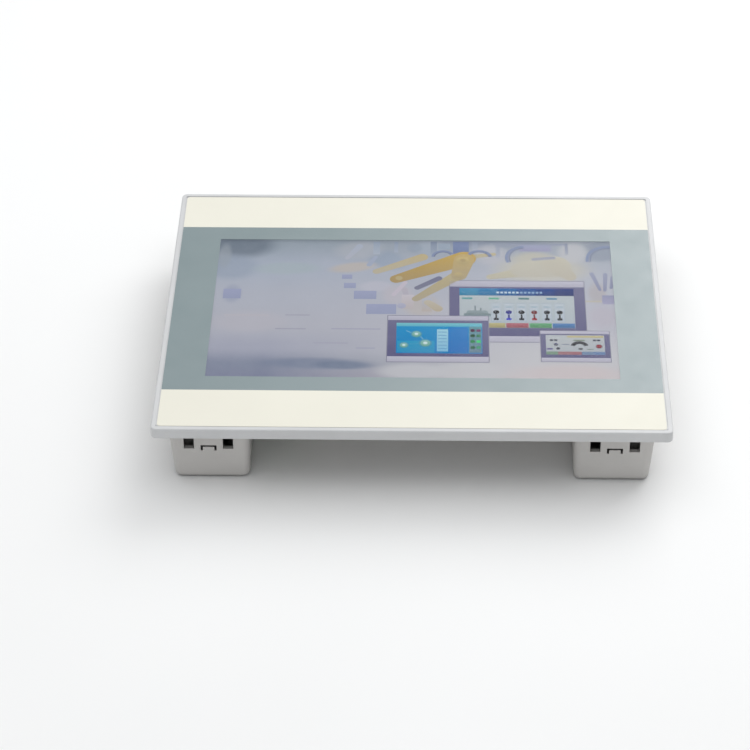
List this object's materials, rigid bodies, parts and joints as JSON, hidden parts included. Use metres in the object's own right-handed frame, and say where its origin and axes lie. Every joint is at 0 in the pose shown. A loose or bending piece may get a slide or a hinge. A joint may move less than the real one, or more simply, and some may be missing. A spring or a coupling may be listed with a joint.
{
  "type": "hmi touch panel",
  "caption": "Wide panel-mount operator terminal with a touch screen in a flat bezel, a deep rear housing with clamp slots and a recessed connector bay.",
  "frame": {"origin": "middle of the box's footprint, on the flat back that the unit lies on", "axes": "+X towards the right of the screen, +Y towards its top, +Z out of the screen, which is up as the unit lies on its back"},
  "size_m": [0.271, 0.213, 0.04],
  "materials": {
    "bezel_plastic": "light grey moulded plastic, fine texture, satin",
    "mask_film": "blue-grey printed polyester film, semi-gloss",
    "decor_film": "cream printed polyester film, semi-gloss",
    "seal_rubber": "black silicone cord",
    "touch_glass": "clear hard-coated film on glass",
    "gasket_foam": "black closed-cell foam",
    "ribbon_film": "amber polyimide",
    "sheet_steel": "galvanised sheet",
    "display": "lit screen picture behind a polariser",
    "white_plastic": "white moulded plastic",
    "screw_steel": "zinc-plated",
    "brass": "turned",
    "circuit_board": "green solder mask",
    "chip_plastic": "moulded black epoxy",
    "aluminium": "bare, satin",
    "black_plastic": "black moulded plastic",
    "cell_steel": "polished steel",
    "connector_metal": "tin-plated",
    "gold_contact": "gold-plated",
    "terminal_plastic": "green moulded plastic",
    "switch_plastic": "red moulded plastic",
    "housing_plastic": "light warm grey moulded plastic, fine texture",
    "label_film": "silver film, satin"
  },
  "bodies": {
    "root": {"backlight_tray": "white_plastic", "board_screws": "screw_steel", "board_standoffs": "brass", "buzzer": "black_plastic", "chassis_plate": "sheet_steel", "chassis_screws": "screw_steel", "coin_cell": "cell_steel", "coin_cell_holder": "black_plastic", "decor_strip_bottom": "decor_film", "decor_strip_top": "decor_film", "dip_switch": "switch_plastic", "ethernet_contacts": "gold_contact", "ethernet_insert": "black_plastic", "ethernet_shield": "connector_metal", "filter_capacitors": "aluminium", "front_bezel": "bezel_plastic", "housing_screws": "screw_steel", "lcd_cell": "display", "lcd_frame": "sheet_steel", "lcd_ribbon": "ribbon_film", "lcd_socket": "white_plastic", "main_board": "circuit_board", "memory_chips": "chip_plastic", "overlay_mask": "mask_film", "panel_seal": "seal_rubber", "power_inductors": "chip_plastic", "power_pins": "connector_metal", "power_socket": "terminal_plastic", "processor": "chip_plastic", "processor_heatsink": "aluminium", "rating_label": "label_film", "rear_housing": "housing_plastic", "serial_1_insert": "black_plastic", "serial_1_shell": "connector_metal", "serial_2_insert": "black_plastic", "serial_2_shell": "connector_metal", "serial_jack_nuts": "connector_metal", "touch_gasket": "gasket_foam", "touch_ribbon": "ribbon_film", "touch_sensor": "touch_glass", "touch_socket": "white_plastic", "usb_device_insert": "black_plastic", "usb_device_shell": "connector_metal", "usb_host_shell": "connector_metal", "usb_host_tongue": "white_plastic"},
    "plug": {"power_plug": "terminal_plastic", "plug_contacts": "connector_metal"},
    "terminal_screw_1": {"terminal_screw_1": "screw_steel"},
    "terminal_cage_1": {"terminal_cage_1": "connector_metal"},
    "terminal_screw_2": {"terminal_screw_2": "screw_steel"},
    "terminal_cage_2": {"terminal_cage_2": "connector_metal"},
    "terminal_screw_3": {"terminal_screw_3": "screw_steel"},
    "terminal_cage_3": {"terminal_cage_3": "connector_metal"},
    "dip_slider_1": {"dip_slider_1": "white_plastic"},
    "dip_slider_2": {"dip_slider_2": "white_plastic"},
    "dip_slider_3": {"dip_slider_3": "white_plastic"},
    "dip_slider_4": {"dip_slider_4": "white_plastic"}
  },
  "joints": [
    {"name": "plug_slide", "type": "slide", "parent": "root", "child": "plug", "axis": [0, -1, 0], "range_m": [0, 0.012]},
    {"name": "terminal_screw_1_turn", "type": "hinge", "parent": "plug", "child": "terminal_screw_1", "pos_m": [-0.07448, -0.0686, 0.0139], "axis": [0, 0, 1], "range_deg": [0, 1260]},
    {"name": "terminal_cage_1_lift", "type": "slide", "parent": "plug", "child": "terminal_cage_1", "axis": [0, 0, -1], "range_m": [0, 0.00175]},
    {"name": "terminal_screw_2_turn", "type": "hinge", "parent": "plug", "child": "terminal_screw_2", "pos_m": [-0.0694, -0.0686, 0.0139], "axis": [0, 0, 1], "range_deg": [0, 1260]},
    {"name": "terminal_cage_2_lift", "type": "slide", "parent": "plug", "child": "terminal_cage_2", "axis": [0, 0, -1], "range_m": [0, 0.00175]},
    {"name": "terminal_screw_3_turn", "type": "hinge", "parent": "plug", "child": "terminal_screw_3", "pos_m": [-0.06432, -0.0686, 0.0139], "axis": [0, 0, 1], "range_deg": [0, 1260]},
    {"name": "terminal_cage_3_lift", "type": "slide", "parent": "plug", "child": "terminal_cage_3", "axis": [0, 0, -1], "range_m": [0, 0.00175]},
    {"name": "dip_slider_1_slide", "type": "slide", "parent": "root", "child": "dip_slider_1", "axis": [0, 0, 1], "range_m": [0, 0.0019]},
    {"name": "dip_slider_2_slide", "type": "slide", "parent": "root", "child": "dip_slider_2", "axis": [0, 0, 1], "range_m": [0, 0.0019]},
    {"name": "dip_slider_3_slide", "type": "slide", "parent": "root", "child": "dip_slider_3", "axis": [0, 0, 1], "range_m": [0, 0.0019]},
    {"name": "dip_slider_4_slide", "type": "slide", "parent": "root", "child": "dip_slider_4", "axis": [0, 0, 1], "range_m": [0, 0.0019]}
  ],
  "couplings": [
    {"joint": "terminal_screw_1_turn", "follows": "terminal_cage_1_lift", "rad_per_m": 12566},
    {"joint": "terminal_screw_2_turn", "follows": "terminal_cage_2_lift", "rad_per_m": 12566},
    {"joint": "terminal_screw_3_turn", "follows": "terminal_cage_3_lift", "rad_per_m": 12566}
  ]
}
